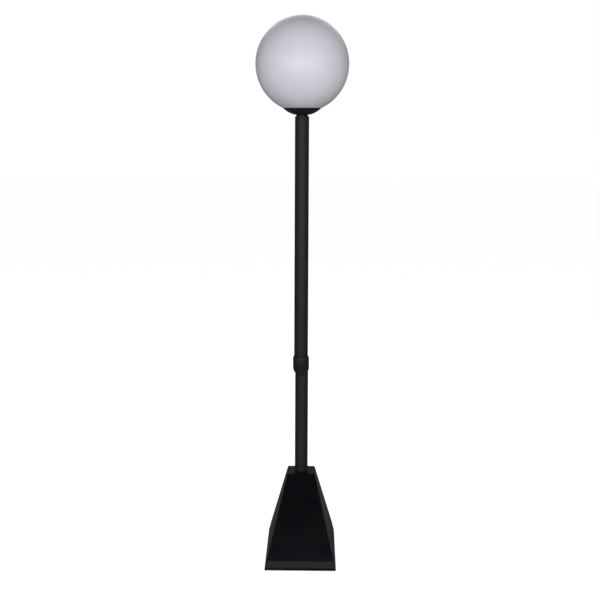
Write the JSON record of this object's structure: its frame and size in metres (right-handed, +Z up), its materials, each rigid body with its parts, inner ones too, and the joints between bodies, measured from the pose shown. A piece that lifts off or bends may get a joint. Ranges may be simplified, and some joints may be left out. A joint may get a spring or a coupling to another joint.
{
  "type": "globe floor lamp",
  "caption": "Floor lamp with a steep pyramid base, an offset pole that turns on a friction knuckle, a shallow cup and a lift-off opal globe.",
  "frame": {"origin": "centre of the underside of the floor pad, under the lower tube's axis", "axes": "+Z up along the pole, -Y to the front, where the upper tube and globe stand, +X to the right seen from the front"},
  "size_m": [0.25, 0.488, 1.5499],
  "materials": {
    "opal_glass": "satin opal, etched outside",
    "base_paint": "matt black powder coat, fine texture",
    "pole_paint": "satin black powder coat",
    "felt": "dense needled felt",
    "zinc_steel": "zinc plated",
    "raw_iron": "as cast, primed",
    "black_screws": "black oxide",
    "spring_steel": "polished spring steel",
    "brass": "turned",
    "black_plastic": "moulded thermoset",
    "pale_plastic": "moulded nylon",
    "fibre": "vulcanised fibre",
    "black_rubber": "moulded rubber",
    "clear_rubber": "silicone",
    "lead_jacket": "flexible jacket",
    "bulb_opal": "opal envelope",
    "bulb_plastic": "moulded",
    "nickel": "nickel plated",
    "solder": "tinned"
  },
  "bodies": {
    "stand": {"ballast": "raw_iron", "ballast_bolts": "black_screws", "base_cover": "base_paint", "base_plate": "zinc_steel", "cord_clamp": "black_plastic", "cord_clamp_screws": "zinc_steel", "cover_screws": "black_screws", "earth_screw": "brass", "face_washer": "fibre", "floor_pad": "felt", "friction_pad": "pale_plastic", "friction_screw": "black_screws", "inlet_grommet": "black_rubber", "lower_lead": "lead_jacket", "lower_tube": "pole_paint", "pole_socket": "zinc_steel", "retaining_screw": "black_screws", "socket_screws": "black_screws", "swivel_bush": "black_plastic", "terminal_block": "pale_plastic", "terminal_screws": "brass"},
    "upper_pole": {"knuckle": "pole_paint", "upper_tube": "pole_paint", "tube_screws": "black_screws", "top_plug": "zinc_steel", "plug_screw": "black_screws", "nipple": "zinc_steel", "nipple_nut": "zinc_steel", "cup_nut": "zinc_steel", "neck_spacer": "base_paint", "cup": "pole_paint", "gallery_plate": "zinc_steel", "globe_clips": "spring_steel", "clip_rivets": "zinc_steel", "gasket": "clear_rubber", "holder_cap": "black_plastic", "holder_body": "black_plastic", "screw_shell": "brass", "centre_contact": "brass", "upper_lead": "lead_jacket"},
    "globe": {"globe": "opal_glass"},
    "bulb": {"bulb_cap": "nickel", "bulb_contact": "solder", "bulb_collar": "bulb_plastic", "bulb_glass": "bulb_opal"}
  },
  "joints": [
    {"name": "knuckle_swivel", "type": "hinge", "parent": "stand", "child": "upper_pole", "pos_m": [0, -0.1492, 0.5935], "axis": [0, 1, 0], "range_deg": [-35, 35]},
    {"name": "globe_lift", "type": "slide", "parent": "upper_pole", "child": "globe", "axis": [0, 0, 1], "range_m": [0, 0.15]},
    {"name": "bulb_unscrew", "type": "slide", "parent": "upper_pole", "child": "bulb", "axis": [0, 0, 1], "range_m": [0, 0.032]}
  ]
}
